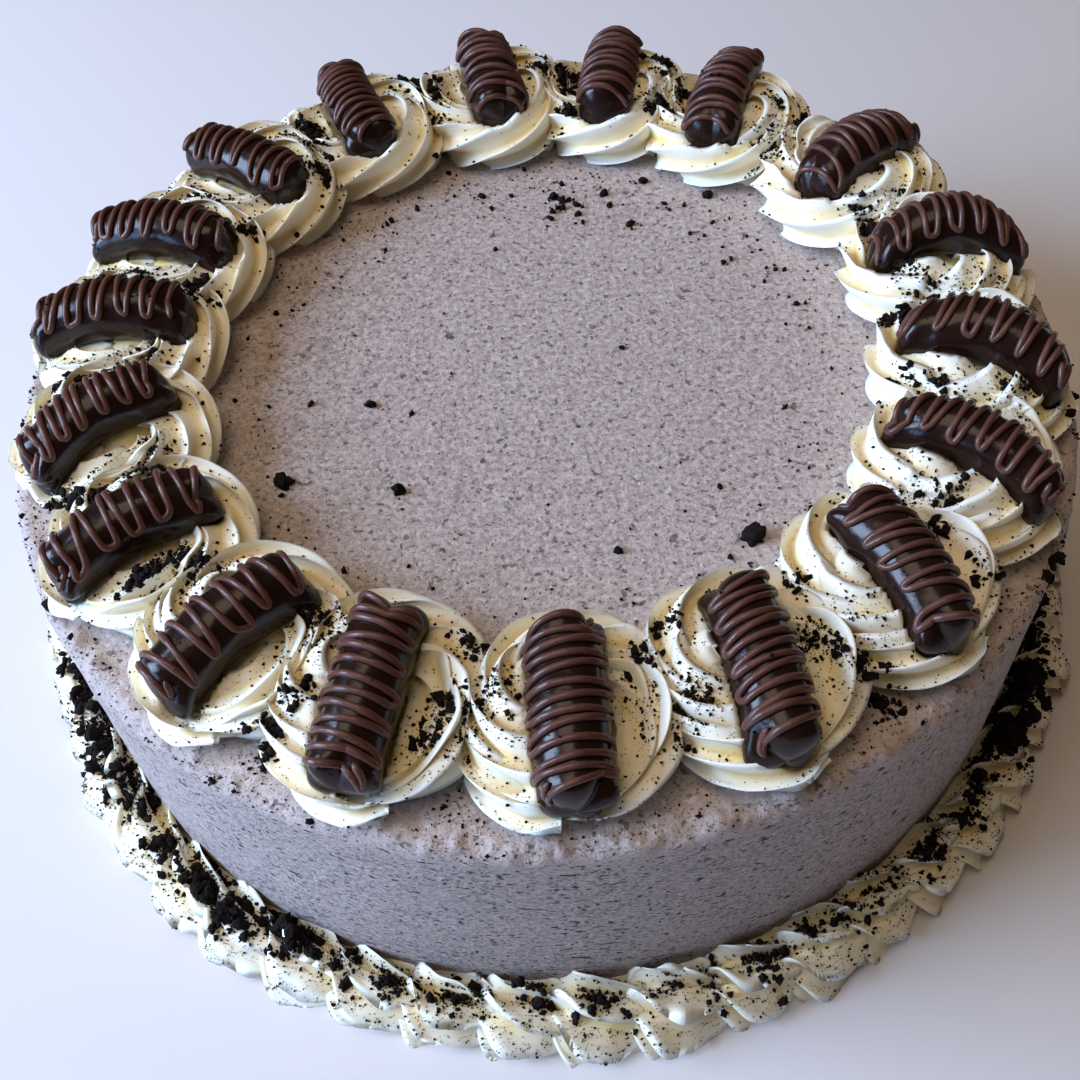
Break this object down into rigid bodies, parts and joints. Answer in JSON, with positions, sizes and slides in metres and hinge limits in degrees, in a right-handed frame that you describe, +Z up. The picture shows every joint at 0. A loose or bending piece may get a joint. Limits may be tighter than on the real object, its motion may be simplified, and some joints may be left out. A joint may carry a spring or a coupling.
{
  "type": "cookies and cream cake",
  "caption": "Round frosted layer cake with a ring of piped rosettes on top, a drizzled chocolate log in each rosette and a piped shell border round its foot.",
  "frame": {"origin": "centre of the cake's base, on the surface that it stands on", "axes": "+Z up, -Y toward the front rosette, +X to the right"},
  "size_m": [0.2922, 0.2931, 0.1058],
  "materials": {
    "cookie_buttercream": "smooth grey buttercream with fine dark cookie flecks",
    "piped_frosting": "piped cream-white frosting, soft satin",
    "dark_chocolate": "glossy dark chocolate coating",
    "milk_chocolate_drizzle": "satin milk chocolate drizzle",
    "cookie_crumb": "rough near-black cookie crumb"
  },
  "bodies": {
    "root": {"cake_body": "cookie_buttercream", "shell_border": "piped_frosting", "rosette_01": "piped_frosting", "rosette_02": "piped_frosting", "rosette_03": "piped_frosting", "rosette_04": "piped_frosting", "rosette_05": "piped_frosting", "rosette_06": "piped_frosting", "rosette_07": "piped_frosting", "rosette_08": "piped_frosting", "rosette_09": "piped_frosting", "rosette_10": "piped_frosting", "rosette_11": "piped_frosting", "rosette_12": "piped_frosting", "rosette_13": "piped_frosting", "rosette_14": "piped_frosting", "rosette_15": "piped_frosting", "rosette_16": "piped_frosting", "rosette_17": "piped_frosting", "rosette_18": "piped_frosting", "chocolate_log_01": "dark_chocolate", "chocolate_log_02": "dark_chocolate", "chocolate_log_03": "dark_chocolate", "chocolate_log_04": "dark_chocolate", "chocolate_log_05": "dark_chocolate", "chocolate_log_06": "dark_chocolate", "chocolate_log_07": "dark_chocolate", "chocolate_log_08": "dark_chocolate", "chocolate_log_09": "dark_chocolate", "chocolate_log_10": "dark_chocolate", "chocolate_log_11": "dark_chocolate", "chocolate_log_12": "dark_chocolate", "chocolate_log_13": "dark_chocolate", "chocolate_log_14": "dark_chocolate", "chocolate_log_15": "dark_chocolate", "chocolate_log_16": "dark_chocolate", "chocolate_log_17": "dark_chocolate", "chocolate_log_18": "dark_chocolate"}
  },
  "joints": []
}
